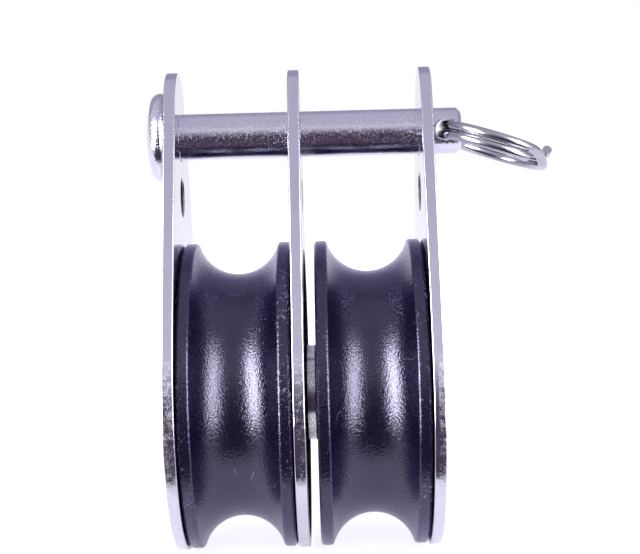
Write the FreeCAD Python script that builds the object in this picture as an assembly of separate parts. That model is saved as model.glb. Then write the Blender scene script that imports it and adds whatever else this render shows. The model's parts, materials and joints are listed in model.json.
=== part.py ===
import FreeCAD, Part
import math
import os

# A double block: three stainless plates, two rope sheaves side by side on one riveted axle,
# and a clevis pin through the plates' heads that a split ring keeps in.
# Millimetres. The origin is on the clevis pin's axis, at the middle of the centre plate.
# X runs along the pin towards the split ring, Z runs up from the sheaves to the pin.

# Plates, three alike, cut from sheet
PLATE_THICK = 1.5
PLATE_HEAD_R = 7.0
PLATE_HEAD_RISE = 1.4
PLATE_FOOT_MARGIN = 0.2
PLATE_EDGE_ROUND = 0.2
BECKET_HOLE_DIA = 5.0
BECKET_HOLE_DROP = 7.8
HOLE_EDGE_BREAK = 0.2

# Sheaves, two alike
SHEAVE_DIA = 40.0
SHEAVE_WIDTH = 13.8
SHEAVE_DROP = 34.0
GROOVE_WIDTH = 10.65
GROOVE_DEPTH = 4.1
GROOVE_LIP_ROUND = 0.45
RIM_BEVEL = 0.3
RELIEF_DEPTH = 0.6
RELIEF_HUB_LAND = 2.0
RELIEF_RIM_LAND = 4.6
RELIEF_SLOPE = 0.5

# Flanged bushes, two pressed into each sheave
BUSH_WALL = 1.0
BUSH_FLANGE_WIDTH = 1.5
BUSH_FLANGE_THICK = 0.8
BUSH_FLANGE_PROUD = 0.1
BUSH_MIDDLE_GAP = 0.6

# Axle: a rivet through all three plates, a sleeve in each bay, a spacer beside the right sheave
RIVET_DIA = 6.0
RIVET_HEAD_DIA = 10.4
RIVET_HEAD_HEIGHT = 1.0
RIVET_HEAD_EDGE = 0.3
SLEEVE_WALL = 0.95
SPACER_DIA = 12.5
SPACER_THICK = 1.2
SPACER_EDGE_ROUND = 0.1

# Clevis pin
PIN_DIA = 6.0
PIN_HEAD_DIA = 11.6
PIN_HEAD_THICK = 2.7
PIN_HEAD_EDGE = 1.8
PIN_HEAD_CROWN_ROUND = 1.3
PIN_HEAD_SEAT_ROUND = 0.8
PIN_TAIL_CHAMFER = 0.5
CROSS_HOLE_PLATE_LAND = 0.55
CROSS_HOLE_TAIL_LAND = 0.5
CROSS_HOLE_FLARE = 0.35

# Split ring: two turns of round wire, joined by a short joggle
RING_DIA = 15.0
WIRE_DIA = 1.2
TURN_GAP = 0.06
JOGGLE_ANGLE = 50.0
FREE_END_ANGLE = 24.0
FREE_END_LIFT = 0.9
JOGGLE_PLACE = 4.0
RING_DROOP = 18.5
RING_TILT = 3.0

# Clearances
RIVET_CLEARANCE = 0.05
RUNNING_CLEARANCE = 0.06
PIN_CLEARANCE = 0.08
PIN_END_PLAY = 0.1
SIDE_PLAY = 0.1
RING_CLEARANCE = 0.12

# Sizes that follow from the ones above
sleeve_r = RIVET_DIA / 2 + RIVET_CLEARANCE + SLEEVE_WALL
sleeve_length = SHEAVE_WIDTH + 2 * (BUSH_FLANGE_PROUD + SIDE_PLAY)
bush_inner_r = sleeve_r + RUNNING_CLEARANCE
bush_outer_r = bush_inner_r + BUSH_WALL
flange_r = bush_outer_r + BUSH_FLANGE_WIDTH
plate_foot_r = SHEAVE_DIA / 2 + PLATE_FOOT_MARGIN

# Places along X
left_plate_x = -(PLATE_THICK + sleeve_length)
right_plate_x = PLATE_THICK + SPACER_THICK + sleeve_length
left_outer_face = left_plate_x - PLATE_THICK / 2
right_outer_face = right_plate_x + PLATE_THICK / 2
left_sheave_x = -(PLATE_THICK + sleeve_length) / 2
right_sheave_x = (PLATE_THICK + sleeve_length) / 2 + SPACER_THICK

# The ring's wire lies half its sag to each side of the cross-hole's axis
ring_r = (RING_DIA - WIRE_DIA) / 2
turn_pitch = WIRE_DIA + TURN_GAP
wire_sag = ring_r - math.sqrt(ring_r ** 2 - (PIN_DIA / 2) ** 2)
cross_hole_r = math.hypot(turn_pitch / 2, wire_sag / 2) + WIRE_DIA / 2 + RING_CLEARANCE
cross_hole_x = right_outer_face + CROSS_HOLE_PLATE_LAND + cross_hole_r
tail_x = cross_hole_x + cross_hole_r + CROSS_HOLE_TAIL_LAND

X_AXIS = FreeCAD.Vector(1, 0, 0)


def point(x, y, z):
    return FreeCAD.Vector(x, y, z)


def profile(start, *steps):
    """Close an outline in the XZ plane; a step is a point, or the middle and end of an arc."""
    edges = []
    here = point(start[0], 0, start[1])
    first = here
    for step in steps:
        if len(step) == 2:
            there = point(step[0], 0, step[1])
            edges.append(Part.LineSegment(here, there).toShape())
        else:
            middle = point(step[0], 0, step[1])
            there = point(step[2], 0, step[3])
            edges.append(Part.Arc(here, middle, there).toShape())
        here = there
    edges.append(Part.LineSegment(here, first).toShape())
    return Part.Face(Part.Wire(edges))


def turned(face, at_z=0.0):
    """Turn a profile, drawn as x and radius, about the X axis and lower it to at_z."""
    solid = face.revolve(point(0, 0, 0), X_AXIS, 360)
    solid.translate(point(0, 0, at_z))
    return solid


def tube(x_start, length, outer_r, inner_r, at_z):
    outer = Part.makeCylinder(outer_r, length, point(x_start, 0, at_z), X_AXIS)
    return outer.cut(Part.makeCylinder(inner_r, length, point(x_start, 0, at_z), X_AXIS))


def round_edges(solid, radius, wanted):
    edges = [edge for edge in solid.Edges if not edge.Degenerated]
    return solid.makeFillet(radius, [edge for edge in edges if wanted(edge)])


def break_hole_edges(solid, radius, size):
    """Chamfer the edges of a round hole that runs along X."""
    edges = []
    for edge in solid.Edges:
        if isinstance(edge.Curve, Part.Circle) and abs(edge.Curve.Radius - radius) < 1e-6:
            edges.append(edge)
    return solid.makeChamfer(size, edges)


def make_plate(centre_x):
    """A pear-shaped plate: round head, straight tangent sides and a round foot."""
    head_z = PLATE_HEAD_RISE
    foot_z = -SHEAVE_DROP
    lean = math.asin((plate_foot_r - PLATE_HEAD_R) / (head_z - foot_z))
    across = math.cos(lean)
    up = math.sin(lean)
    x = centre_x - PLATE_THICK / 2
    head_left = point(x, -PLATE_HEAD_R * across, head_z + PLATE_HEAD_R * up)
    head_right = point(x, PLATE_HEAD_R * across, head_z + PLATE_HEAD_R * up)
    foot_left = point(x, -plate_foot_r * across, foot_z + plate_foot_r * up)
    foot_right = point(x, plate_foot_r * across, foot_z + plate_foot_r * up)
    crown = point(x, 0, head_z + PLATE_HEAD_R)
    sole = point(x, 0, foot_z - plate_foot_r)
    outline = Part.Wire([
        Part.Arc(head_left, crown, head_right).toShape(),
        Part.LineSegment(head_right, foot_right).toShape(),
        Part.Arc(foot_right, sole, foot_left).toShape(),
        Part.LineSegment(foot_left, head_left).toShape(),
    ])
    plate = Part.Face(outline).extrude(point(PLATE_THICK, 0, 0))
    plate = plate.makeFillet(PLATE_EDGE_ROUND, [
        edge for edge in plate.Edges
        if abs(edge.BoundBox.XLength) < 1e-6
    ])
    holes = (
        (0.0, PIN_DIA / 2 + PIN_CLEARANCE),
        (-BECKET_HOLE_DROP, BECKET_HOLE_DIA / 2),
        (-SHEAVE_DROP, RIVET_DIA / 2 + RIVET_CLEARANCE),
    )
    for hole_z, radius in holes:
        plate = plate.cut(Part.makeCylinder(radius, PLATE_THICK, point(x, 0, hole_z), X_AXIS))
    plate = break_hole_edges(plate, PIN_DIA / 2 + PIN_CLEARANCE, HOLE_EDGE_BREAK)
    return break_hole_edges(plate, BECKET_HOLE_DIA / 2, HOLE_EDGE_BREAK)


def make_sheave(centre_x):
    """A turned sheave: one deep round groove, bevelled rims, relieved sides, bored for bushes."""
    rim = SHEAVE_DIA / 2
    half = SHEAVE_WIDTH / 2
    groove_half = GROOVE_WIDTH / 2
    bore = bush_outer_r
    seat = flange_r + RUNNING_CLEARANCE
    seat_depth = BUSH_FLANGE_THICK - BUSH_FLANGE_PROUD
    hub = seat + RELIEF_HUB_LAND
    relief_top = rim - RELIEF_RIM_LAND
    floor = half - RELIEF_DEPTH
    body = turned(profile(
        (-half + seat_depth, bore),
        (-half + seat_depth, seat),
        (-half, seat),
        (-half, hub),
        (-floor, hub + RELIEF_SLOPE),
        (-floor, relief_top - RELIEF_SLOPE),
        (-half, relief_top),
        (-half, rim - RIM_BEVEL),
        (-half + RIM_BEVEL, rim),
        (-groove_half, rim),
        (0, rim - GROOVE_DEPTH, groove_half, rim),
        (half - RIM_BEVEL, rim),
        (half, rim - RIM_BEVEL),
        (half, relief_top),
        (floor, relief_top - RELIEF_SLOPE),
        (floor, hub + RELIEF_SLOPE),
        (half, hub),
        (half, seat),
        (half - seat_depth, seat),
        (half - seat_depth, bore),
    ))
    body = round_edges(body, GROOVE_LIP_ROUND, lambda edge: (
        isinstance(edge.Curve, Part.Circle)
        and abs(edge.Curve.Radius - rim) < 1e-6
        and abs(abs(edge.Curve.Center.x) - groove_half) < 1e-6
    ))
    body.translate(point(centre_x, 0, -SHEAVE_DROP))
    return body


def make_bush(sheave_x, side):
    """A flanged bush; side is -1 or +1 and says which face of the sheave its flange is on."""
    half = SHEAVE_WIDTH / 2
    face = half + BUSH_FLANGE_PROUD
    under = face - BUSH_FLANGE_THICK
    end = BUSH_MIDDLE_GAP / 2
    bush = turned(profile(
        (side * end, bush_inner_r),
        (side * end, bush_outer_r),
        (side * under, bush_outer_r),
        (side * under, flange_r),
        (side * face, flange_r),
        (side * face, bush_inner_r),
    ))
    bush.translate(point(sheave_x, 0, -SHEAVE_DROP))
    return bush


def make_rivet():
    """The axle rivet, with a low domed head formed at each end."""
    shank = RIVET_DIA / 2
    head = RIVET_HEAD_DIA / 2
    left = left_outer_face
    right = right_outer_face
    dome = RIVET_HEAD_HEIGHT - RIVET_HEAD_EDGE
    dome_r = (dome ** 2 + head ** 2) / (2 * dome)
    middle_r = head / 2
    middle_drop = dome_r - math.sqrt(dome_r ** 2 - middle_r ** 2)
    return turned(profile(
        (left - RIVET_HEAD_HEIGHT, 0),
        (left - RIVET_HEAD_HEIGHT + middle_drop, middle_r, left - RIVET_HEAD_EDGE, head),
        (left, head),
        (left, shank),
        (right, shank),
        (right, head),
        (right + RIVET_HEAD_EDGE, head),
        (right + RIVET_HEAD_HEIGHT - middle_drop, middle_r, right + RIVET_HEAD_HEIGHT, 0),
    ), -SHEAVE_DROP)


def make_sleeve(x_start):
    return tube(x_start, sleeve_length, sleeve_r, RIVET_DIA / 2 + RIVET_CLEARANCE, -SHEAVE_DROP)


def make_spacer():
    spacer = tube(PLATE_THICK / 2, SPACER_THICK, SPACER_DIA / 2,
                  RIVET_DIA / 2 + RIVET_CLEARANCE, -SHEAVE_DROP)
    return round_edges(spacer, SPACER_EDGE_ROUND, lambda edge: (
        isinstance(edge.Curve, Part.Circle)
        and abs(edge.Curve.Radius - SPACER_DIA / 2) < 1e-6
    ))


# Directions of the split ring: along the cross-hole, out from the pin, and square to its plane
tilt = math.radians(RING_TILT)
droop = math.radians(RING_DROOP)
hole_along = point(0, -math.cos(tilt), math.sin(tilt))
level_side = point(0, math.sin(tilt), math.cos(tilt))
ring_out = X_AXIS * math.cos(droop) - level_side * math.sin(droop)
ring_normal = ring_out.cross(hole_along)
if ring_normal.z < 0:
    ring_normal = ring_normal * -1
cross_hole_centre = point(cross_hole_x, 0, 0)
ring_centre = cross_hole_centre + ring_out * (ring_r - wire_sag / 2)


def make_pin():
    """The clevis pin: a low domed head with round corners, a shank and a cross-holed tail."""
    shank = PIN_DIA / 2
    head = PIN_HEAD_DIA / 2
    seat = left_outer_face - PIN_END_PLAY
    crown = seat - PIN_HEAD_THICK
    dome = PIN_HEAD_THICK - PIN_HEAD_EDGE
    dome_r = (dome ** 2 + head ** 2) / (2 * dome)
    middle_r = head * 0.6
    middle_drop = dome_r - math.sqrt(dome_r ** 2 - middle_r ** 2)
    pin = turned(profile(
        (crown, 0),
        (crown + middle_drop, middle_r, seat - PIN_HEAD_EDGE, head),
        (seat, head),
        (seat, shank),
        (tail_x - PIN_TAIL_CHAMFER, shank),
        (tail_x, shank - PIN_TAIL_CHAMFER),
        (tail_x, 0),
    ))
    corners = ((seat - PIN_HEAD_EDGE, PIN_HEAD_CROWN_ROUND), (seat, PIN_HEAD_SEAT_ROUND))
    for corner_x, radius in corners:
        pin = round_edges(pin, radius, lambda edge: (
            isinstance(edge.Curve, Part.Circle)
            and abs(edge.Curve.Radius - head) < 1e-6
            and abs(edge.Curve.Center.x - corner_x) < 1e-6
        ))
    reach = PIN_DIA
    hole = Part.makeCylinder(
        cross_hole_r, 2 * reach, cross_hole_centre - hole_along * reach, hole_along)
    pin = pin.cut(hole)
    for side in (hole_along, hole_along * -1):
        inner = cross_hole_centre + side * (shank - CROSS_HOLE_FLARE)
        flare = Part.makeCone(cross_hole_r, cross_hole_r + 2 * CROSS_HOLE_FLARE,
                              2 * CROSS_HOLE_FLARE, inner, side)
        pin = pin.cut(flare)
    return pin


def wire_arc(start, tangent, end):
    """A length of wire bent as one arc that leaves start along tangent and stops at end."""
    chord = end - start
    normal = tangent.cross(chord)
    normal.normalize()
    inward = normal.cross(tangent)
    radius = chord.dot(chord) / (2 * chord.dot(inward))
    centre = start + inward * radius
    turn = 2 * math.atan2(tangent.cross(chord).Length, tangent.dot(chord))
    disc = Part.Face(Part.Wire(Part.makeCircle(WIRE_DIA / 2, start, tangent)))
    return disc.revolve(centre, normal, math.degrees(turn))


def joggle_arcs(start, start_tangent, end, end_tangent):
    """Two tangent arcs that carry the wire from one turn's plane to the other's."""
    chord = end - start
    both = start_tangent + end_tangent
    a = both.dot(both) - 4
    b = -2 * chord.dot(both)
    c = chord.dot(chord)
    reach = (-b - math.sqrt(b * b - 4 * a * c)) / (2 * a)
    first_corner = start + start_tangent * reach
    last_corner = end - end_tangent * reach
    middle = (first_corner + last_corner) * 0.5
    middle_tangent = last_corner - first_corner
    middle_tangent.normalize()
    return [wire_arc(start, start_tangent, middle), wire_arc(middle, middle_tangent, end)]


def ring_point(angle, height):
    """A point on the wire's centre line; angle 0 is the ring's far side from the pin."""
    turn = math.radians(angle)
    arm = ring_out * math.cos(turn) + hole_along * math.sin(turn)
    return ring_centre + arm * ring_r + ring_normal * height


def ring_tangent(angle):
    turn = math.radians(angle)
    return hole_along * math.cos(turn) - ring_out * math.sin(turn)


def make_split_ring():
    """Lower turn, joggle and upper turn; the upper turn's cut end springs a little proud."""
    low = -turn_pitch / 2
    high = turn_pitch / 2
    begin = JOGGLE_PLACE + JOGGLE_ANGLE
    full = 360 - JOGGLE_ANGLE
    free = full - FREE_END_ANGLE
    wire = []
    for share in range(3):
        start = begin + share * full / 3
        end = start + full / 3
        wire.append(wire_arc(ring_point(start, low), ring_tangent(start), ring_point(end, low)))
    wire += joggle_arcs(ring_point(begin + full, low), ring_tangent(begin + full),
                        ring_point(begin, high), ring_tangent(begin))
    for share in range(3):
        start = begin + share * free / 3
        end = start + free / 3
        wire.append(wire_arc(ring_point(start, high), ring_tangent(start), ring_point(end, high)))
    end = begin + full
    wire.append(wire_arc(ring_point(begin + free, high), ring_tangent(begin + free),
                         ring_point(end, high + FREE_END_LIFT)))
    return wire[0].multiFuse(wire[1:]).removeSplitter()


parts = {
    "left_cheek_plate": make_plate(left_plate_x),
    "centre_plate": make_plate(0.0),
    "right_cheek_plate": make_plate(right_plate_x),
    "axle_rivet": make_rivet(),
    "left_axle_sleeve": make_sleeve(left_plate_x + PLATE_THICK / 2),
    "right_axle_sleeve": make_sleeve(right_plate_x - PLATE_THICK / 2 - sleeve_length),
    "axle_spacer": make_spacer(),
    "left_sheave": make_sheave(left_sheave_x),
    "right_sheave": make_sheave(right_sheave_x),
    "left_sheave_outer_bush": make_bush(left_sheave_x, -1),
    "left_sheave_inner_bush": make_bush(left_sheave_x, 1),
    "right_sheave_inner_bush": make_bush(right_sheave_x, -1),
    "right_sheave_outer_bush": make_bush(right_sheave_x, 1),
    "clevis_pin": make_pin(),
    "split_ring": make_split_ring(),
}

os.makedirs("parts", exist_ok=True)
for name, shape in parts.items():
    solids = shape.Solids
    if len(solids) == 1:
        shape = solids[0]
    shape.exportStep("parts/" + name + ".step")
    box = shape.BoundBox
    print(name, len(solids), shape.isValid(), round(shape.Volume, 3),
          [round(value, 3) for value in
           (box.XMin, box.XMax, box.YMin, box.YMax, box.ZMin, box.ZMax)])
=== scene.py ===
import json
import math

import bpy
from mathutils import Matrix, Vector


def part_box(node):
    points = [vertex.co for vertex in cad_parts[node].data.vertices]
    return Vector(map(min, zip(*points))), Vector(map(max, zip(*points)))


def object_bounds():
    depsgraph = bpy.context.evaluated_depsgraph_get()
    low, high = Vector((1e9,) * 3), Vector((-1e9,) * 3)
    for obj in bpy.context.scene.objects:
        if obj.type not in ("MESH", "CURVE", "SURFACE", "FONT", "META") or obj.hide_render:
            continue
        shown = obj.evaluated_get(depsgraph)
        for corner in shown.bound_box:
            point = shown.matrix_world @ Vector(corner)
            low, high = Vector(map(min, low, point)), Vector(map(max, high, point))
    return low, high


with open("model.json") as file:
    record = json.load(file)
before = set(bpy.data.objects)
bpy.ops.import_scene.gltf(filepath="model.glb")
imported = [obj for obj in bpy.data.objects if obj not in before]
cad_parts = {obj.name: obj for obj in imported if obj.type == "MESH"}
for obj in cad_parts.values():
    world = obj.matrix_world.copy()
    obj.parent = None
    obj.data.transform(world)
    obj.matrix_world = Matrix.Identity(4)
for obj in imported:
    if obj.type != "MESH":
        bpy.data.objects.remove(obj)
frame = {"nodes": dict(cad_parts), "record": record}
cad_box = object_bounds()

# Cheek plates and centre plate: three alike, punched from 1.5 mm 316 stainless sheet, tumbled
# until the rims are round and buffed bright. The punch leaves the first part of each edge
# smooth and tears the rest, and handling has left hairline scratches on the faces.
MM = 0.001
sheave_low, sheave_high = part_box("left_sheave")
axle_level = (sheave_low.z + sheave_high.z) / 2
rim_radius = (sheave_high.z - sheave_low.z) / 2
becket_hole = next(mount for mount in frame["record"]["mounts"] if mount["name"] == "becket_hole")
# For each plate: the share of its edge that is torn, how scuffed that is above and below the
# axle, and the sides, -1 for the left and 1 for the right, on which a sheave runs.
PLATES = {
    "left_cheek_plate": (0.85, (0.3, 0.5), (1,)),
    "centre_plate": (0.75, (0.2, 0.05), (-1, 1)),
    "right_cheek_plate": (0.6, (0.75, 0.3), (-1,)),
}
SHEET_BRIGHT = "#e2e0ea"
SHEET_SMEARED = "#cfcddb"
SHEET_ROUGHNESS = (0.07, 0.15)
SMEAR_SIZE = 5 * MM
SMEAR_LEVELS = (0.35, 0.7)
# For each of the two ways that the cloth went: its turn in degrees, the length and width of its
# scratches, which are drawn wider than real so that they show, and how rare they are.
HAIRLINES = ((8, 9 * MM, 0.16 * MM, 0.66), (64, 6 * MM, 0.14 * MM, 0.68))
HAIRLINE_SOFTNESS = 0.07
# The hairlines are as deep as this share of the tears' relief.
HAIRLINE_DEPTH = 0.27
# By the sideways part of its normal, from 0 to 1, a surface is all edge up to the first value
# and none from the second. Over FLAT_FACING it is the flat of the sheet.
EDGE_FACING = (0.5, 0.9)
FLAT_FACING = 0.95
TEAR_RELIEF = 0.009 * MM
TEAR_BLEND = 0.1 * MM
# The grain of a tear, drawn a little coarser than real so that it shows.
TEAR_GRAIN = 0.12 * MM
# The smooth band of the edge is torn too, but only by this share.
SMOOTH_BAND_TEAR = 0.25
# Heights over the axle: the tears begin at the first and are full from the second down.
TEAR_FADE = (9 * MM, 6 * MM)
SCUFF_ROUGHNESS = 0.33
SCUFF_BLEND = 2 * MM
SCUFF_PATCH = 0.7 * MM
# The scuffs' pattern is so much of these patches and so much of the tears' grain. An edge is
# scuffed where it is over SCUFF_LEVEL, which a share of 1 lowers by SCUFF_GAIN.
SCUFF_PATCHINESS = 0.6
SCUFF_GRAININESS = 0.9
SCUFF_LEVEL = 0.86
SCUFF_GAIN = 0.22
SCUFF_SOFTNESS = 0.11
# Painted shade: this dark matt colour, nearly without gloss, is painted in the becket hole and on the
# plate faces beside the sheaves, where those recesses and narrow gaps are in shade.
PAINTED_SHADE_COLOUR = "#1d1a26"
SHADE_ROUGHNESS = 0.7
SHADE_GLOSS = 0.1
HOLE_SHADE_REACH = 0.1 * MM
# The painted shade on the faces beside each sheave fades out between these two distances inside the
# sheave's rim.
GAP_SHADE_INSETS = (1.6 * MM, 0.8 * MM)


def linear(hex_colour):
    """An sRGB hex colour as the linear colour that a shader takes."""
    channels = [int(hex_colour[i:i + 2], 16) / 255 for i in (1, 3, 5)]
    return [c / 12.92 if c <= 0.04045 else ((c + 0.055) / 1.055) ** 2.4 for c in channels] + [1]


def new_material(name):
    """An empty material and its node tree."""
    material = bpy.data.materials.new(name)
    material.use_nodes = True
    material.node_tree.nodes.clear()
    return material, material.node_tree


def add(tree, kind, settings=None, **inputs):
    """Add a node, set its properties, then link or set its inputs: _0 is an input's number,
    and any other name is the input's own, with _ for a space. A node that is given as an input
    is linked by the first of its outputs that is in use."""
    node = tree.nodes.new(kind)
    for name, value in (settings or {}).items():
        setattr(node, name, value)
    for name, value in inputs.items():
        socket = node.inputs[int(name[1:]) if name[1:].isdigit() else name.replace("_", " ")]
        if isinstance(value, bpy.types.Node):
            value = next(output for output in value.outputs if output.enabled)
        if isinstance(value, bpy.types.NodeSocket):
            tree.links.new(value, socket)
        else:
            socket.default_value = value
    return node


def hairlines(tree, place, turn, length, width, rarity):
    """Straight hairline scratches in the plates' plane: 1 on a scratch and 0 beside it."""
    along = add(tree, "ShaderNodeMapping", {"vector_type": "TEXTURE"}, Vector=place,
                Rotation=(math.radians(turn), 0, 0), Scale=(length, width, length))
    lines = add(tree, "ShaderNodeTexNoise", Vector=along, Scale=1.0, Detail=1.0)
    return add(tree, "ShaderNodeMapRange", Value=lines, From_Min=rarity,
               From_Max=rarity + HAIRLINE_SOFTNESS)


def distance_from_line(tree, place, level):
    """How far each point is from the line along X at this level, such as the axle."""
    offset = add(tree, "ShaderNodeMapping", Vector=place, Location=(0, 0, -level), Scale=(0, 1, 1))
    return add(tree, "ShaderNodeVectorMath", {"operation": "LENGTH"}, _0=offset).outputs["Value"]


def dress(material, *nodes):
    """Give the CAD nodes this material."""
    for node in nodes:
        for slot in frame["nodes"][node].material_slots:
            slot.material = material


def buffed_stainless(plate, torn_share, scuff_shares, sheave_sides):
    """316 stainless sheet, buffed: a clear bright mirror with hairlines, softened a little by
    handling. Low down, the outer part of the punched edge is torn and scuffed. Painted shade, a
    dark matt colour, lies in the becket hole and on the faces beside the sheaves, in those shaded gaps."""
    material, tree = new_material("buffed_stainless_" + plate)
    low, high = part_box(plate)
    tear_start = high.x - torn_share * (high.x - low.x)
    coordinates = add(tree, "ShaderNodeTexCoord")
    place = coordinates.outputs["Object"]
    position = add(tree, "ShaderNodeSeparateXYZ", Vector=place)
    facing = add(tree, "ShaderNodeSeparateXYZ", Vector=coordinates.outputs["Normal"]).outputs["X"]
    flatness = add(tree, "ShaderNodeMath", {"operation": "ABSOLUTE"}, _0=facing)
    on_edge = add(tree, "ShaderNodeMapRange", Value=flatness, From_Min=EDGE_FACING[0],
                  From_Max=EDGE_FACING[1], To_Min=1.0, To_Max=0.0)

    up_scratches, cross_scratches = [hairlines(tree, place, *way) for way in HAIRLINES]
    scratches = add(tree, "ShaderNodeMath", {"operation": "MAXIMUM"}, _0=up_scratches, _1=cross_scratches)
    grit = add(tree, "ShaderNodeTexNoise", Vector=place, Scale=1 / TEAR_GRAIN, Detail=2.0, Roughness=0.6)
    torn = add(tree, "ShaderNodeMapRange", Value=position.outputs["X"], From_Min=tear_start - TEAR_BLEND,
               From_Max=tear_start + TEAR_BLEND, To_Min=SMOOTH_BAND_TEAR, To_Max=1.0)
    low_down = add(tree, "ShaderNodeMapRange", Value=position.outputs["Z"],
                   From_Min=axle_level + TEAR_FADE[0], From_Max=axle_level + TEAR_FADE[1])
    torn_edge = add(tree, "ShaderNodeMath", {"operation": "MULTIPLY"}, _0=torn, _1=on_edge)
    tear = add(tree, "ShaderNodeMath", {"operation": "MULTIPLY"}, _0=torn_edge, _1=low_down)
    tear_height = add(tree, "ShaderNodeMath", {"operation": "MULTIPLY"}, _0=grit, _1=tear)
    height = add(tree, "ShaderNodeMath", {"operation": "MULTIPLY_ADD"}, _0=scratches, _1=-HAIRLINE_DEPTH,
                 _2=tear_height)
    bump = add(tree, "ShaderNodeBump", Strength=1.0, Distance=TEAR_RELIEF, Height=height)

    smear = add(tree, "ShaderNodeTexNoise", Vector=place, Scale=1 / SMEAR_SIZE, Detail=4.0, Roughness=0.6)
    haze = add(tree, "ShaderNodeMapRange", Value=smear, From_Min=SMEAR_LEVELS[0],
               From_Max=SMEAR_LEVELS[1], To_Min=SHEET_ROUGHNESS[0], To_Max=SHEET_ROUGHNESS[1])
    patches = add(tree, "ShaderNodeTexNoise", Vector=place, Scale=1 / SCUFF_PATCH, Detail=2.0)
    fine = add(tree, "ShaderNodeMath", {"operation": "MULTIPLY"}, _0=grit, _1=SCUFF_GRAININESS)
    spread = add(tree, "ShaderNodeMath", {"operation": "MULTIPLY_ADD"}, _0=patches,
                 _1=SCUFF_PATCHINESS, _2=fine)
    upper, lower = scuff_shares
    bare = add(tree, "ShaderNodeMapRange", Value=position.outputs["Z"], From_Min=axle_level + SCUFF_BLEND,
               From_Max=axle_level - SCUFF_BLEND, To_Min=SCUFF_LEVEL - SCUFF_GAIN * upper,
               To_Max=SCUFF_LEVEL - SCUFF_GAIN * lower)
    worn = add(tree, "ShaderNodeMath", {"operation": "SUBTRACT"}, _0=spread, _1=bare)
    grains = add(tree, "ShaderNodeMapRange", Value=worn, From_Min=-SCUFF_SOFTNESS,
                 From_Max=SCUFF_SOFTNESS, To_Min=0.0, To_Max=SCUFF_ROUGHNESS)
    roughness = add(tree, "ShaderNodeMath", {"operation": "MULTIPLY_ADD"}, _0=tear, _1=grains, _2=haze)
    tone = add(tree, "ShaderNodeMix", {"data_type": "RGBA"}, _0=smear, _6=linear(SHEET_BRIGHT),
               _7=linear(SHEET_SMEARED))

    # Painted shade: the becket hole's wall, and the faces beside each sheave inside its rim, are painted
    # dark and matt, as the shade in those gaps is.
    hole_radius = becket_hole["dims"]["r_mm"] * MM
    from_hole = distance_from_line(tree, place, becket_hole["pos_m"][2])
    in_hole = add(tree, "ShaderNodeMath", {"operation": "LESS_THAN"}, _0=from_hole,
                  _1=hole_radius + HOLE_SHADE_REACH)
    painted_shade = add(tree, "ShaderNodeMath", {"operation": "MULTIPLY"}, _0=in_hole, _1=on_edge)
    from_axle = distance_from_line(tree, place, axle_level)
    inside_rim = add(tree, "ShaderNodeMapRange", Value=from_axle, From_Min=rim_radius - GAP_SHADE_INSETS[0],
                  From_Max=rim_radius - GAP_SHADE_INSETS[1], To_Min=1.0, To_Max=0.0)
    for side in sheave_sides:
        towards = add(tree, "ShaderNodeMath", {"operation": "MULTIPLY"}, _0=facing, _1=side)
        faces_sheave = add(tree, "ShaderNodeMath", {"operation": "GREATER_THAN"}, _0=towards,
                           _1=FLAT_FACING)
        gap_shade = add(tree, "ShaderNodeMath", {"operation": "MULTIPLY"}, _0=inside_rim, _1=faces_sheave)
        painted_shade = add(tree, "ShaderNodeMath", {"operation": "MAXIMUM"}, _0=painted_shade, _1=gap_shade)
    colour = add(tree, "ShaderNodeMix", {"data_type": "RGBA"}, _0=painted_shade, _6=tone, _7=linear(PAINTED_SHADE_COLOUR))
    unshaded = add(tree, "ShaderNodeMath", {"operation": "SUBTRACT"}, _0=1.0, _1=painted_shade)
    finish = add(tree, "ShaderNodeMix", _0=painted_shade, _2=roughness, _3=SHADE_ROUGHNESS)
    shader = add(tree, "ShaderNodeBsdfPrincipled", Base_Color=colour, Metallic=unshaded, Roughness=finish,
                 Specular_IOR_Level=SHADE_GLOSS, Normal=bump)
    add(tree, "ShaderNodeOutputMaterial", Surface=shader)
    return material


for plate, wear_of_plate in PLATES.items():
    dress(buffed_stainless(plate, *wear_of_plate), plate)

# Axle rivet: a 6 mm 316 stainless rod through both sheaves and all three plates, its ends
# rolled over into shallow heads against the cheeks. The rolling tool leaves faint rings.
RIVET_STEEL = "#d6d4de"
RIVET_ROUGHNESS = 0.16
# The rings and the pebble are drawn coarser than real so that they show.
RIVET_RING_WIDTH = 0.3 * MM
RIVET_PEBBLE = 0.4 * MM
# The pebble is this share as high as the rings.
PEBBLE_SHARE = 0.5
RIVET_RELIEF = 0.012 * MM


def rolled_stainless():
    """316 stainless, cold formed: bright, with fine rings round the axle and a slight pebble."""
    material, tree = new_material("rolled_stainless")
    place = add(tree, "ShaderNodeTexCoord").outputs["Object"]
    rings = add(tree, "ShaderNodeTexNoise", {"noise_dimensions": "1D"},
                W=distance_from_line(tree, place, axle_level), Scale=1 / RIVET_RING_WIDTH, Detail=2.0)
    pebble = add(tree, "ShaderNodeTexNoise", Vector=place, Scale=1 / RIVET_PEBBLE, Detail=2.0)
    height = add(tree, "ShaderNodeMath", {"operation": "MULTIPLY_ADD"}, _0=pebble, _1=PEBBLE_SHARE,
                 _2=rings)
    bump = add(tree, "ShaderNodeBump", Strength=1.0, Distance=RIVET_RELIEF, Height=height)
    shader = add(tree, "ShaderNodeBsdfPrincipled", Base_Color=linear(RIVET_STEEL), Metallic=1.0,
                 Roughness=RIVET_ROUGHNESS, Normal=bump)
    add(tree, "ShaderNodeOutputMaterial", Surface=shader)
    return material


dress(rolled_stainless(), "axle_rivet")

# Axle sleeves and spacer: lengths of stainless tube on the rivet, which keep the plates apart
# when it is rolled over. They are sawn and barrelled, so their skin is a coarse bright grain.
TUBE_STEEL = "#cfccd9"
TUBE_SPARKLE = "#ffffff"
TUBE_ROUGHNESS = 0.14
TUBE_RELIEF = 0.014 * MM
# The skin's grain, drawn a little coarser than real so that it shows.
TUBE_GRAIN = 0.22 * MM
SPARKLE_LEVELS = (0.4, 0.6)


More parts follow.
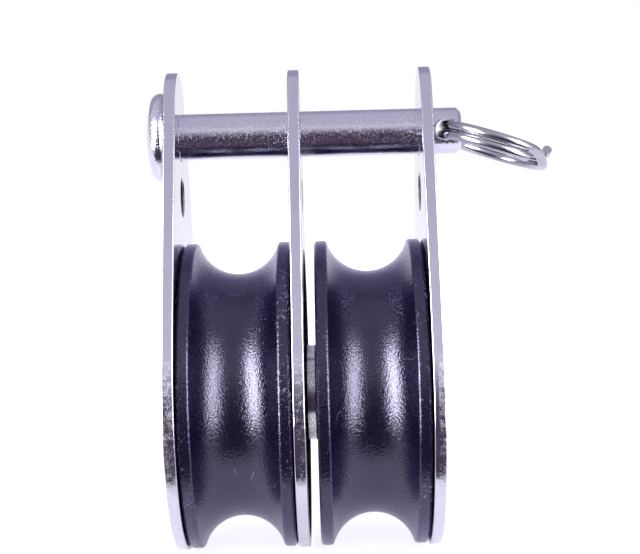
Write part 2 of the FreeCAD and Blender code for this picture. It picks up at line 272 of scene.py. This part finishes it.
def pebbled(tree, place, size, relief, detail=2.0, roughness=0.7):
    """A skin of bumps of about this size and relief: their pattern, and the normal they give."""
    pattern = add(tree, "ShaderNodeTexNoise", Vector=place, Scale=1 / size, Detail=detail,
                  Roughness=roughness)
    normal = add(tree, "ShaderNodeBump", Strength=1.0, Distance=relief, Height=pattern)
    return pattern, normal


def barrelled_stainless():
    """304 stainless tube, barrelled: a pebbled skin whose grain sparkles white."""
    material, tree = new_material("barrelled_stainless")
    place = add(tree, "ShaderNodeTexCoord").outputs["Object"]
    grain, normal = pebbled(tree, place, TUBE_GRAIN, TUBE_RELIEF)
    sparkle = add(tree, "ShaderNodeMapRange", Value=grain, From_Min=SPARKLE_LEVELS[0],
                  From_Max=SPARKLE_LEVELS[1])
    tone = add(tree, "ShaderNodeMix", {"data_type": "RGBA"}, _0=sparkle, _6=linear(TUBE_STEEL),
               _7=linear(TUBE_SPARKLE))
    shader = add(tree, "ShaderNodeBsdfPrincipled", Base_Color=tone, Metallic=1.0,
                 Roughness=TUBE_ROUGHNESS, Normal=normal)
    add(tree, "ShaderNodeOutputMaterial", Surface=shader)
    return material


dress(barrelled_stainless(), "left_axle_sleeve", "right_axle_sleeve", "axle_spacer")

# Sheaves: two 40 mm wheels turned from black acetal, with a deep round groove for the rope and
# a narrow flat rim each side. The rope has polished the groove, and the rims are nicked.
ACETAL_BLACK = "#131125"
ACETAL_WORN = "#7d7a92"
ACETAL_IOR = 1.5
# The grain that the tool left and the finer one that sand in the rope wore, both drawn coarser
# than real so that they show.
ACETAL_GRAIN = 0.25 * MM
ACETAL_RELIEF = 0.06 * MM
SAND_GRAIN = 0.14 * MM
SAND_LEVELS = (0.46, 0.6)
SAND_ROUGHNESS = (0.07, 0.3)
WORN_ROUGHNESS = 0.5
# A surface is a side face, with only this share of the groove's gloss, by how far sideways its
# normal points: not at all up to the first value, and wholly from the second.
SIDE_FACING = (0.93, 0.98)
SIDE_GLOSS = 0.1
SKIN_TINT = "#e4e1ff"
SKIN_ROUGHNESS = 0.1
SKIN_IOR = 1.15
NICK_SIZE = 0.45 * MM
NICK_PATCH = 6 * MM
NICK_PATCHINESS = 0.35
NICK_LEVELS = (0.81, 0.9)
# The nicks begin at the first of these distances inside the rim and are full at the second.
NICK_INSETS = (1.6 * MM, 0.3 * MM)
# A stray scratch runs where a smooth pattern with this sweep crosses its middle: it is full up
# to the first distance from that level and gone at the second.
STRAY_SWEEP = 4 * MM
STRAY_LINE = (0.0012, 0.005)
# It shows only in patches, where a second pattern is over these levels.
STRAY_PATCH = 3.2 * MM
STRAY_LEVELS = (0.69, 0.74)


def stray_scratches(tree, place):
    """A few thin curved scratches, where something sharp has slid over the plastic."""
    field = add(tree, "ShaderNodeTexNoise", Vector=place, Scale=1 / STRAY_SWEEP, Detail=0.0)
    past_middle = add(tree, "ShaderNodeMath", {"operation": "SUBTRACT"}, _0=field, _1=0.5)
    gap = add(tree, "ShaderNodeMath", {"operation": "ABSOLUTE"}, _0=past_middle)
    line = add(tree, "ShaderNodeMapRange", Value=gap, From_Min=STRAY_LINE[0], From_Max=STRAY_LINE[1],
               To_Min=1.0, To_Max=0.0)
    patches = add(tree, "ShaderNodeTexNoise", Vector=place, Scale=1 / STRAY_PATCH, Detail=0.0)
    rare = add(tree, "ShaderNodeMapRange", Value=patches, From_Min=STRAY_LEVELS[0],
               From_Max=STRAY_LEVELS[1])
    return add(tree, "ShaderNodeMath", {"operation": "MULTIPLY"}, _0=line, _1=rare)


def black_acetal():
    """Acetal, turned and rope-polished: blue-black, with a waxy gloss that a fine grain breaks
    into sparkle, under a thin polished skin of a lilac tint. It has pale hair scratches, pale
    nicks along the rims, and dull side faces."""
    material, tree = new_material("black_acetal")
    coordinates = add(tree, "ShaderNodeTexCoord")
    place = coordinates.outputs["Object"]
    normal = pebbled(tree, place, ACETAL_GRAIN, ACETAL_RELIEF, roughness=0.55)[1]
    sand = add(tree, "ShaderNodeTexNoise", Vector=place, Scale=1 / SAND_GRAIN, Detail=1.0)
    sanded = add(tree, "ShaderNodeMapRange", Value=sand, From_Min=SAND_LEVELS[0],
                 From_Max=SAND_LEVELS[1], To_Min=SAND_ROUGHNESS[0], To_Max=SAND_ROUGHNESS[1])

    near_rim = add(tree, "ShaderNodeMapRange", Value=distance_from_line(tree, place, axle_level),
                   From_Min=rim_radius - NICK_INSETS[0], From_Max=rim_radius - NICK_INSETS[1])
    specks = add(tree, "ShaderNodeTexNoise", Vector=place, Scale=1 / NICK_SIZE, Detail=3.0, Roughness=0.7)
    patches = add(tree, "ShaderNodeTexNoise", Vector=place, Scale=1 / NICK_PATCH, Detail=1.0)
    spread = add(tree, "ShaderNodeMath", {"operation": "MULTIPLY_ADD"}, _0=patches,
                 _1=NICK_PATCHINESS, _2=specks)
    nicked = add(tree, "ShaderNodeMapRange", Value=spread, From_Min=NICK_LEVELS[0],
                 From_Max=NICK_LEVELS[1])
    nicks = add(tree, "ShaderNodeMath", {"operation": "MULTIPLY"}, _0=nicked, _1=near_rim)
    marks = add(tree, "ShaderNodeMath", {"operation": "MAXIMUM"}, _0=nicks,
                _1=stray_scratches(tree, place))
    colour = add(tree, "ShaderNodeMix", {"data_type": "RGBA"}, _0=marks, _6=linear(ACETAL_BLACK),
                 _7=linear(ACETAL_WORN))

    facing = add(tree, "ShaderNodeSeparateXYZ", Vector=coordinates.outputs["Normal"]).outputs["X"]
    flatness = add(tree, "ShaderNodeMath", {"operation": "ABSOLUTE"}, _0=facing)
    side = add(tree, "ShaderNodeMapRange", Value=flatness, From_Min=SIDE_FACING[0],
               From_Max=SIDE_FACING[1])
    dulled = add(tree, "ShaderNodeMath", {"operation": "MAXIMUM"}, _0=marks, _1=side)
    worn = add(tree, "ShaderNodeMath", {"operation": "MULTIPLY"}, _0=dulled, _1=WORN_ROUGHNESS)
    roughness = add(tree, "ShaderNodeMath", {"operation": "MAXIMUM"}, _0=worn, _1=sanded)
    gloss = add(tree, "ShaderNodeMapRange", Value=side, To_Min=1.0, To_Max=SIDE_GLOSS)
    skin = add(tree, "ShaderNodeMapRange", Value=dulled, To_Min=1.0, To_Max=0.0)
    shader = add(tree, "ShaderNodeBsdfPrincipled", Base_Color=colour, Roughness=roughness,
                 IOR=ACETAL_IOR, Specular_IOR_Level=gloss, Coat_Weight=skin,
                 Coat_Roughness=SKIN_ROUGHNESS, Coat_IOR=SKIN_IOR, Coat_Tint=linear(SKIN_TINT),
                 Coat_Normal=normal, Normal=normal)
    add(tree, "ShaderNodeOutputMaterial", Surface=shader)
    return material


dress(black_acetal(), "left_sheave", "right_sheave")

# Sheave bushes: a flanged bush of oil-filled sintered bronze pressed into each side of each
# sheave, so that the acetal never turns on steel.
BRONZE = "#a8834f"
BRONZE_PORES = "#4a3a28"
BRONZE_ROUGHNESS = 0.42
# The pores are drawn coarser than real so that they show.
PORE_SIZE = 0.2 * MM
PORE_DEPTH = 0.02 * MM
PORE_LEVELS = (0.35, 0.5)


def sintered_bronze():
    """Sintered bronze: dull brown-gold, with the dark pores that hold its oil."""
    material, tree = new_material("sintered_bronze")
    place = add(tree, "ShaderNodeTexCoord").outputs["Object"]
    pores, normal = pebbled(tree, place, PORE_SIZE, PORE_DEPTH)
    tone = add(tree, "ShaderNodeMapRange", Value=pores, From_Min=PORE_LEVELS[0],
               From_Max=PORE_LEVELS[1])
    colour = add(tree, "ShaderNodeMix", {"data_type": "RGBA"}, _0=tone, _6=linear(BRONZE_PORES),
                 _7=linear(BRONZE))
    shader = add(tree, "ShaderNodeBsdfPrincipled", Base_Color=colour, Metallic=1.0,
                 Roughness=BRONZE_ROUGHNESS, Normal=normal)
    add(tree, "ShaderNodeOutputMaterial", Surface=shader)
    return material


dress(sintered_bronze(), "left_sheave_outer_bush", "left_sheave_inner_bush",
      "right_sheave_inner_bush", "right_sheave_outer_bush")

# Clevis pin: 6 mm stainless rod with a mushroom head, ground round after the head was formed.
# The wheel leaves short marks round the pin, coarser where the plates have rubbed it.
PIN_STEEL = "#dad8e3"
PIN_ROUGHNESS = (0.06, 0.34)
# A mark's size along the pin and across it, drawn coarser than real so that it shows.
WHEEL_MARK = (0.17 * MM, 0.24 * MM, 0.24 * MM)
MARK_RELIEF = 0.026 * MM
MARK_LEVELS = (0.5, 0.6)
# The plates have made the marks this much deeper, up to the first of these distances from each
# plate's middle and no more from the second.
PLATE_WEAR = 1.5
PLATE_WEAR_REACH = (1 * MM, 4 * MM)
# Levels: the pin is smooth below the first, where an eye bears, and has all its marks above the
# second.
SMOOTH_LEVELS = (-2.1 * MM, -1.2 * MM)


def ground_stainless():
    """Stainless, ground: bright, with short wheel marks round the pin, deeper beside each plate
    and worn smooth under the pin, where an eye bears."""
    material, tree = new_material("ground_stainless")
    place = add(tree, "ShaderNodeTexCoord").outputs["Object"]
    position = add(tree, "ShaderNodeSeparateXYZ", Vector=place)
    stretched = add(tree, "ShaderNodeMapping", {"vector_type": "TEXTURE"}, Vector=place, Scale=WHEEL_MARK)
    marks = add(tree, "ShaderNodeTexNoise", Vector=stretched, Scale=1.0, Detail=2.0, Roughness=0.6)
    gaps = []
    for plate in PLATES:
        low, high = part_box(plate)
        gap = add(tree, "ShaderNodeMath", {"operation": "SUBTRACT"}, _0=position.outputs["X"],
                  _1=(low.x + high.x) / 2)
        gaps.append(add(tree, "ShaderNodeMath", {"operation": "ABSOLUTE"}, _0=gap))
    nearest = gaps[0]
    for gap in gaps[1:]:
        nearest = add(tree, "ShaderNodeMath", {"operation": "MINIMUM"}, _0=nearest, _1=gap)
    wear = add(tree, "ShaderNodeMapRange", Value=nearest, From_Min=PLATE_WEAR_REACH[0],
               From_Max=PLATE_WEAR_REACH[1], To_Min=PLATE_WEAR, To_Max=1.0)
    height = add(tree, "ShaderNodeMath", {"operation": "MULTIPLY"}, _0=marks, _1=wear)
    bump = add(tree, "ShaderNodeBump", Strength=1.0, Distance=MARK_RELIEF, Height=height)
    roughest = add(tree, "ShaderNodeMapRange", Value=position.outputs["Z"], From_Min=SMOOTH_LEVELS[0],
                   From_Max=SMOOTH_LEVELS[1], To_Min=PIN_ROUGHNESS[0], To_Max=PIN_ROUGHNESS[1])
    roughness = add(tree, "ShaderNodeMapRange", Value=marks, From_Min=MARK_LEVELS[0],
                    From_Max=MARK_LEVELS[1], To_Min=PIN_ROUGHNESS[0], To_Max=roughest)
    shader = add(tree, "ShaderNodeBsdfPrincipled", Base_Color=linear(PIN_STEEL), Metallic=1.0,
                 Roughness=roughness, Normal=bump)
    add(tree, "ShaderNodeOutputMaterial", Surface=shader)
    return material


dress(ground_stainless(), "clevis_pin")

# Split ring: 1.2 mm stainless spring wire wound into two close turns, with a joggle where one
# turn steps over the other. It is barrelled bright after winding.
WIRE_STEEL = "#bab8bf"
WIRE_ROUGHNESS = 0.22
WIRE_RIPPLE = 0.8 * MM
WIRE_RELIEF = 0.006 * MM


def spring_wire():
    """302 stainless spring wire, barrelled: bright but a little soft, with faint ripples."""
    material, tree = new_material("spring_wire")
    place = add(tree, "ShaderNodeTexCoord").outputs["Object"]
    normal = pebbled(tree, place, WIRE_RIPPLE, WIRE_RELIEF, detail=3.0, roughness=0.6)[1]
    shader = add(tree, "ShaderNodeBsdfPrincipled", Base_Color=linear(WIRE_STEEL), Metallic=1.0,
                 Roughness=WIRE_ROUGHNESS, Normal=normal)
    add(tree, "ShaderNodeOutputMaterial", Surface=shader)
    return material


dress(spring_wire(), "split_ring")

# Floor: a plain pale sheet just under the plates' feet, which takes the block's shadow. In the
# metal it ends close before the block, so that the dark front of the room shows there.
FLOOR_SIDE = 3000 * MM
FLOOR_GAP = 0.2 * MM
SHEET_EDGE = cad_box[0].y - 5.5 * MM
SHEET_COLOUR = "#f4f3f8"
SHEET_GLOW = "#fcfbff"
# How strongly the sheet glows for the camera, and in the metal.
GLOW_SEEN = 0.85
GLOW_REFLECTED = 0.45
bpy.ops.object.select_all(action="DESELECT")
bpy.ops.mesh.primitive_plane_add(size=FLOOR_SIDE)
floor = bpy.context.object
floor.name = "floor"
floor.data.transform(Matrix.Translation((0, 0, cad_box[0].z - FLOOR_GAP)))


def pale_sheet():
    """Matt pale sheet, lifted to white where the camera or the metal looks at it. Shadow rays
    pass it, and so do the metal's rays before its edge."""
    material, tree = new_material("pale_sheet")
    place = add(tree, "ShaderNodeTexCoord").outputs["Object"]
    depth = add(tree, "ShaderNodeSeparateXYZ", Vector=place).outputs["Y"]
    before_edge = add(tree, "ShaderNodeMath", {"operation": "LESS_THAN"}, _0=depth, _1=SHEET_EDGE)
    matt = add(tree, "ShaderNodeBsdfDiffuse", Color=linear(SHEET_COLOUR))
    ray = add(tree, "ShaderNodeLightPath")
    from_camera = ray.outputs["Is Camera Ray"]
    from_metal = ray.outputs["Is Glossy Ray"]
    seen_glow = add(tree, "ShaderNodeMath", {"operation": "MULTIPLY"}, _0=from_camera, _1=GLOW_SEEN)
    metal_glow = add(tree, "ShaderNodeMath", {"operation": "MULTIPLY"}, _0=from_metal, _1=GLOW_REFLECTED)
    lift = add(tree, "ShaderNodeMath", {"operation": "MAXIMUM"}, _0=seen_glow, _1=metal_glow)
    glow = add(tree, "ShaderNodeEmission", Color=linear(SHEET_GLOW), Strength=lift)
    lifted = add(tree, "ShaderNodeAddShader", _0=matt, _1=glow)
    clear = add(tree, "ShaderNodeBsdfTransparent")
    past = add(tree, "ShaderNodeMath", {"operation": "MULTIPLY"}, _0=from_metal, _1=before_edge)
    passes = add(tree, "ShaderNodeMath", {"operation": "MAXIMUM"}, _0=past,
                 _1=ray.outputs["Is Shadow Ray"])
    either = add(tree, "ShaderNodeMixShader", Fac=passes, _1=lifted, _2=clear)
    add(tree, "ShaderNodeOutputMaterial", Surface=either)
    return material


floor.data.materials.append(pale_sheet())

# Room: what the bright metal reflects, while the camera sees plain white. Its front is dark with
# a bright strip above, its ceiling and sides are a soft lilac grey, and low down behind the
# block it is nearly white.
SIDES = "#d9d6e3"
BACKDROP = "#ffffff"
# Each colour has its degrees over the block: 0 in front, 90 overhead, 180 behind, -90 below.
ROOM = ((-180, "#fcfbff"), (-96, "#f6f4fb"), (-90, "#2a2433"), (-57, "#2a2433"), (-52, "#4f4356"),
        (-8, "#4f4356"), (6, "#776d82"), (17, "#aaa3b8"), (28, "#dedbe9"), (36, "#dedbe9"),
        (44, "#c9c5d8"), (112, "#c9c5d8"), (128, "#a8a4bd"), (160, "#a8a4bd"), (170, "#f6f4fb"),
        (180, "#fcfbff"))
# The dark front widens downwards, and the ceiling widens behind the block. Each has the degrees
# between which it widens, and its half width at both, as a share of the way out to the side.
FRONT_WIDENS = (20, -50, 0.3, 0.75)
CEILING_WIDENS = (95, 125, 0.0, 1.3)
# The colours blend into the sides between these shares of that half width.
SIDE_BLEND = (0.85, 1.15)
world = bpy.data.worlds.new("room")
bpy.context.scene.world = world
world.use_nodes = True
tree = world.node_tree
tree.nodes.clear()
way = add(tree, "ShaderNodeSeparateXYZ", Vector=add(tree, "ShaderNodeTexCoord").outputs["Generated"])
forwards = add(tree, "ShaderNodeMath", {"operation": "MULTIPLY"}, _0=way.outputs["Y"], _1=-1.0)
over = add(tree, "ShaderNodeMath", {"operation": "ARCTAN2"}, _0=way.outputs["Z"], _1=forwards)
share = add(tree, "ShaderNodeMapRange", Value=over, From_Min=-math.pi, From_Max=math.pi)
ramp = add(tree, "ShaderNodeValToRGB", Fac=share)
stops = ramp.color_ramp.elements
while len(stops) < len(ROOM):
    stops.new(0.5)
for stop, (angle, colour) in zip(stops, ROOM):
    stop.position = (angle + 180) / 360
    stop.color = linear(colour)
widths = []
for start, end, start_width, end_width in (FRONT_WIDENS, CEILING_WIDENS):
    widths.append(add(tree, "ShaderNodeMapRange", Value=over, From_Min=math.radians(start),
                      From_Max=math.radians(end), To_Min=start_width, To_Max=end_width))
half_width = add(tree, "ShaderNodeMath", {"operation": "MAXIMUM"}, _0=widths[0], _1=widths[1])
sideways = add(tree, "ShaderNodeMath", {"operation": "ABSOLUTE"}, _0=way.outputs["X"])
reach = add(tree, "ShaderNodeMath", {"operation": "DIVIDE"}, _0=sideways, _1=half_width)
beside = add(tree, "ShaderNodeMapRange", {"interpolation_type": "SMOOTHSTEP"}, Value=reach,
             From_Min=SIDE_BLEND[0], From_Max=SIDE_BLEND[1])
room = add(tree, "ShaderNodeMix", {"data_type": "RGBA"}, _0=beside, _6=ramp, _7=linear(SIDES))
ray = add(tree, "ShaderNodeLightPath")
seen = add(tree, "ShaderNodeMix", {"data_type": "RGBA"}, _0=ray.outputs["Is Camera Ray"], _6=room,
           _7=linear(BACKDROP))
background = add(tree, "ShaderNodeBackground", Color=seen, Strength=1.0)
add(tree, "ShaderNodeOutputWorld", Surface=background)

# Softboxes: two tall soft lamps, one each side of the camera, the left one nearly twice as
# strong. They draw the two streaks down each groove. A wide soft light over the camera, which
# nothing reflects, brings what is matt up to its own colour.
LAMP_TINT = (0.985, 0.975, 1.0)
BOX_SIZE = (230 * MM, 460 * MM)
BOX_DISTANCE = 500 * MM
BOX_AZIMUTH = 52
BOX_RISE = 0.2
LEFT_BOX_RADIANCE = 17.0
RIGHT_BOX_RADIANCE = 9.5
SOFT_LIGHT_SIZE = (1200 * MM, 1200 * MM)
SOFT_LIGHT_DISTANCE = 1200 * MM
SOFT_LIGHT_RISE = 0.6
SOFT_LIGHT_RADIANCE = 1.6


def area_lamp(name, azimuth, rise, distance, size, radiance):
    """A soft lamp that faces the sheaves' axle from azimuth degrees right of the camera. It
    rises by this much for each metre that it stands out from the block."""
    turn = math.radians(azimuth)
    direction = Vector((math.sin(turn), -math.cos(turn), rise)).normalized()
    data = bpy.data.lights.new(name, "AREA")
    data.shape = "RECTANGLE"
    data.size = size[0]
    data.size_y = size[1]
    data.energy = radiance * math.pi * size[0] * size[1]
    data.color = LAMP_TINT
    lamp = bpy.data.objects.new(name, data)
    bpy.context.scene.collection.objects.link(lamp)
    lamp.location = Vector((0, 0, axle_level)) + direction * distance
    lamp.rotation_euler = direction.to_track_quat("Z", "Y").to_euler()
    lamp.visible_camera = False
    return lamp


for name, azimuth, radiance in (("left_softbox", -BOX_AZIMUTH, LEFT_BOX_RADIANCE),
                                ("right_softbox", BOX_AZIMUTH, RIGHT_BOX_RADIANCE)):
    area_lamp(name, azimuth, BOX_RISE, BOX_DISTANCE, BOX_SIZE, radiance).visible_diffuse = False
area_lamp("soft_light", 0, SOFT_LIGHT_RISE, SOFT_LIGHT_DISTANCE, SOFT_LIGHT_SIZE,
          SOFT_LIGHT_RADIANCE).visible_glossy = False

# Camera: square to the front and nearly level with the pin, tipped down to the middle of the
# block, and turned and rolled very slightly, so that the plates lean as they do in the picture.
CAMERA_TARGET = Vector((2.8, 0, -18.75)) * MM
CAMERA_DISTANCE = 200 * MM
CAMERA_TIP = 4.5
CAMERA_TURN = 0.4
CAMERA_ROLL = -1.5
SENSOR_WIDTH = 36
FOCAL_LENGTH = 85.4
camera_data = bpy.data.cameras.new("camera")
camera = bpy.data.objects.new("camera", camera_data)
bpy.context.scene.collection.objects.link(camera)
bpy.context.scene.camera = camera
camera_data.sensor_width = SENSOR_WIDTH
camera_data.lens = FOCAL_LENGTH
turned = Matrix.Rotation(math.radians(CAMERA_TURN), 4, "Z")
tipped = turned @ Matrix.Rotation(math.radians(90 - CAMERA_TIP), 4, "X")
camera.location = CAMERA_TARGET + tipped @ Vector((0, 0, CAMERA_DISTANCE))
camera.rotation_euler = (tipped @ Matrix.Rotation(math.radians(CAMERA_ROLL), 4, "Z")).to_euler()
bpy.context.scene.view_settings.view_transform = "Standard"
